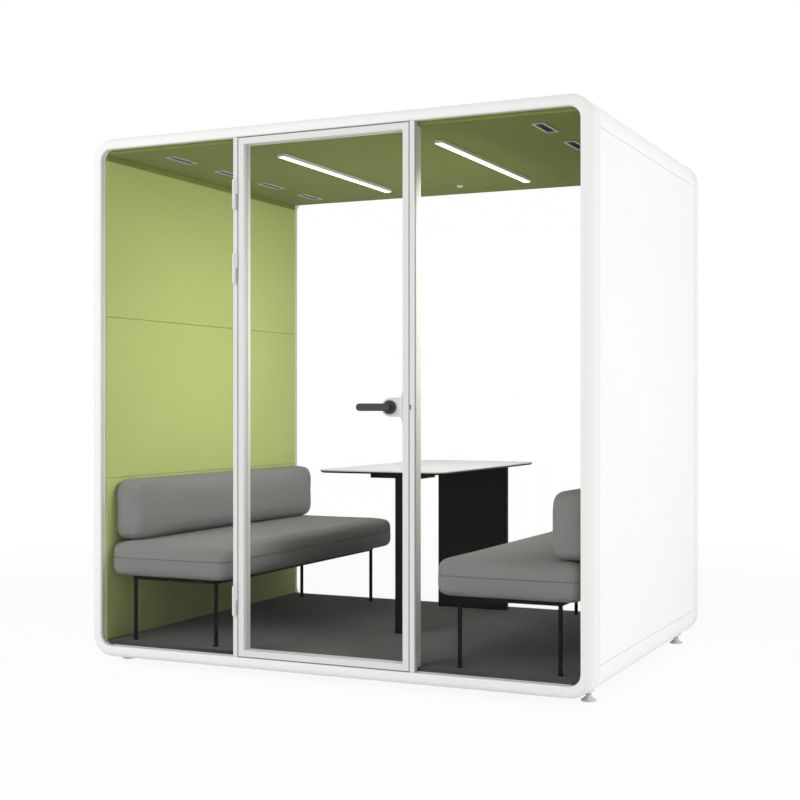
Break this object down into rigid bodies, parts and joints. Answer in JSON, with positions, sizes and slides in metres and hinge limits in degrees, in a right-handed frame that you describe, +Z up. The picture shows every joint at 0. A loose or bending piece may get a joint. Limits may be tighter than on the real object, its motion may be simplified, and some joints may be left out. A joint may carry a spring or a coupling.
{
  "type": "acoustic office pod",
  "caption": "Free-standing acoustic office pod with white ring frames, a glazed hinged door, green felt lining, facing upholstered benches and a table",
  "frame": {"origin": "on the floor under the middle of the whole box, handle included", "axes": "+X is the right of someone who faces the door, +Y runs from the door to the back, +Z is up"},
  "size_m": [2.28, 1.8152, 2.3],
  "materials": {
    "white_lacquered_frame": "satin white lacquer on board",
    "white_lacquered_panel": "satin white lacquer on board",
    "white_powder_coat": "satin white powder coat",
    "green_felt": "dense wool felt, fine speckle",
    "dark_carpet": "low cut pile",
    "clear_glass": "clear polished",
    "pale_gasket_rubber": "matte",
    "black_powder_coat": "satin black powder coat",
    "dark_handle": "dark bronze anodised look",
    "bright_steel": "brushed",
    "grey_upholstery": "woven wool blend",
    "white_table_board": "white laminate with dark bevelled edge",
    "light_channel": "anodised",
    "opal_diffuser": "opal, lit",
    "grey_duct_plastic": "fine texture",
    "dark_fan_plastic": "fine texture",
    "white_sensor_plastic": "fine texture"
  },
  "bodies": {
    "cabin": {"front_ring": "white_lacquered_frame", "rear_ring": "white_lacquered_frame", "roof_shell": "white_lacquered_panel", "base_tray": "white_lacquered_panel", "side_panel_right": "white_lacquered_panel", "side_panel_left": "white_lacquered_panel", "door_post_left": "white_powder_coat", "door_post_right": "white_powder_coat", "hinge_top_post_knuckle": "white_powder_coat", "hinge_upper_post_knuckle": "white_powder_coat", "hinge_lower_post_knuckle": "white_powder_coat", "wall_panel_right_low": "green_felt", "wall_panel_right_mid": "green_felt", "wall_panel_right_high": "green_felt", "wall_panel_left_low": "green_felt", "wall_panel_left_mid": "green_felt", "wall_panel_left_high": "green_felt", "ceiling_panel": "green_felt", "carpet": "dark_carpet", "front_glass_left": "clear_glass", "front_glass_right": "clear_glass", "back_glass": "clear_glass", "front_gasket_left": "pale_gasket_rubber", "front_gasket_right": "pale_gasket_rubber", "back_gasket": "pale_gasket_rubber", "bench_frame_right": "black_powder_coat", "bench_frame_left": "black_powder_coat", "table_post": "black_powder_coat", "table_panel_leg": "black_powder_coat", "seat_cushion_right": "grey_upholstery", "seat_cushion_left": "grey_upholstery", "back_cushion_right": "grey_upholstery", "back_cushion_left": "grey_upholstery", "table_top": "white_table_board", "light_housing_right": "light_channel", "light_housing_left": "light_channel", "light_diffuser_right": "opal_diffuser", "light_diffuser_left": "opal_diffuser", "air_duct_right": "grey_duct_plastic", "air_duct_left": "grey_duct_plastic", "power_unit": "grey_duct_plastic", "ceiling_sensor": "white_sensor_plastic"},
    "door": {"door_frame": "white_powder_coat", "door_glass": "clear_glass", "door_gasket": "pale_gasket_rubber", "lock_case": "white_powder_coat", "hinge_top_door_knuckle": "white_powder_coat", "hinge_upper_door_knuckle": "white_powder_coat", "hinge_lower_door_knuckle": "white_powder_coat"},
    "handle": {"lever_outer": "dark_handle", "lever_inner": "dark_handle"},
    "latch": {"latch_bolt": "bright_steel"},
    "fan_right": {"fan_rotor_right": "dark_fan_plastic"},
    "fan_left": {"fan_rotor_left": "dark_fan_plastic"},
    "foot_front_left": {"foot_front_left": "white_powder_coat"},
    "foot_front_right": {"foot_front_right": "white_powder_coat"},
    "foot_rear_left": {"foot_rear_left": "white_powder_coat"},
    "foot_rear_right": {"foot_rear_right": "white_powder_coat"}
  },
  "joints": [
    {"name": "door_hinge", "type": "hinge", "parent": "cabin", "child": "door", "pos_m": [-0.4045, -0.86735, 1], "axis": [0, 0, -1], "range_deg": [0, 110]},
    {"name": "lever_turn", "type": "hinge", "parent": "door", "child": "handle", "pos_m": [0.31, -0.83085, 1.126], "axis": [0, -1, 0], "range_deg": [0, 45], "stiffness_Nm_per_rad": 2, "springref_deg": -28.65},
    {"name": "latch_slide", "type": "slide", "parent": "door", "child": "latch", "axis": [-1, 0, 0], "range_m": [0, 0.009]},
    {"name": "fan_right_spin", "type": "hinge", "parent": "cabin", "child": "fan_right", "pos_m": [0.86, 0.02265, 2.27], "axis": [0, 0, 1], "continuous": true},
    {"name": "fan_left_spin", "type": "hinge", "parent": "cabin", "child": "fan_left", "pos_m": [-0.86, 0.02265, 2.27], "axis": [0, 0, 1], "continuous": true},
    {"name": "foot_front_left_turn", "type": "hinge", "parent": "cabin", "child": "foot_front_left", "pos_m": [-1.07, -0.68235, 0.02], "axis": [0, 0, 1], "continuous": true},
    {"name": "foot_front_right_turn", "type": "hinge", "parent": "cabin", "child": "foot_front_right", "pos_m": [1.07, -0.68235, 0.02], "axis": [0, 0, 1], "continuous": true},
    {"name": "foot_rear_left_turn", "type": "hinge", "parent": "cabin", "child": "foot_rear_left", "pos_m": [-1.07, 0.72765, 0.02], "axis": [0, 0, 1], "continuous": true},
    {"name": "foot_rear_right_turn", "type": "hinge", "parent": "cabin", "child": "foot_rear_right", "pos_m": [1.07, 0.72765, 0.02], "axis": [0, 0, 1], "continuous": true}
  ],
  "couplings": [
    {"joint": "latch_slide", "follows": "lever_turn", "m_per_rad": 0.01145}
  ]
}
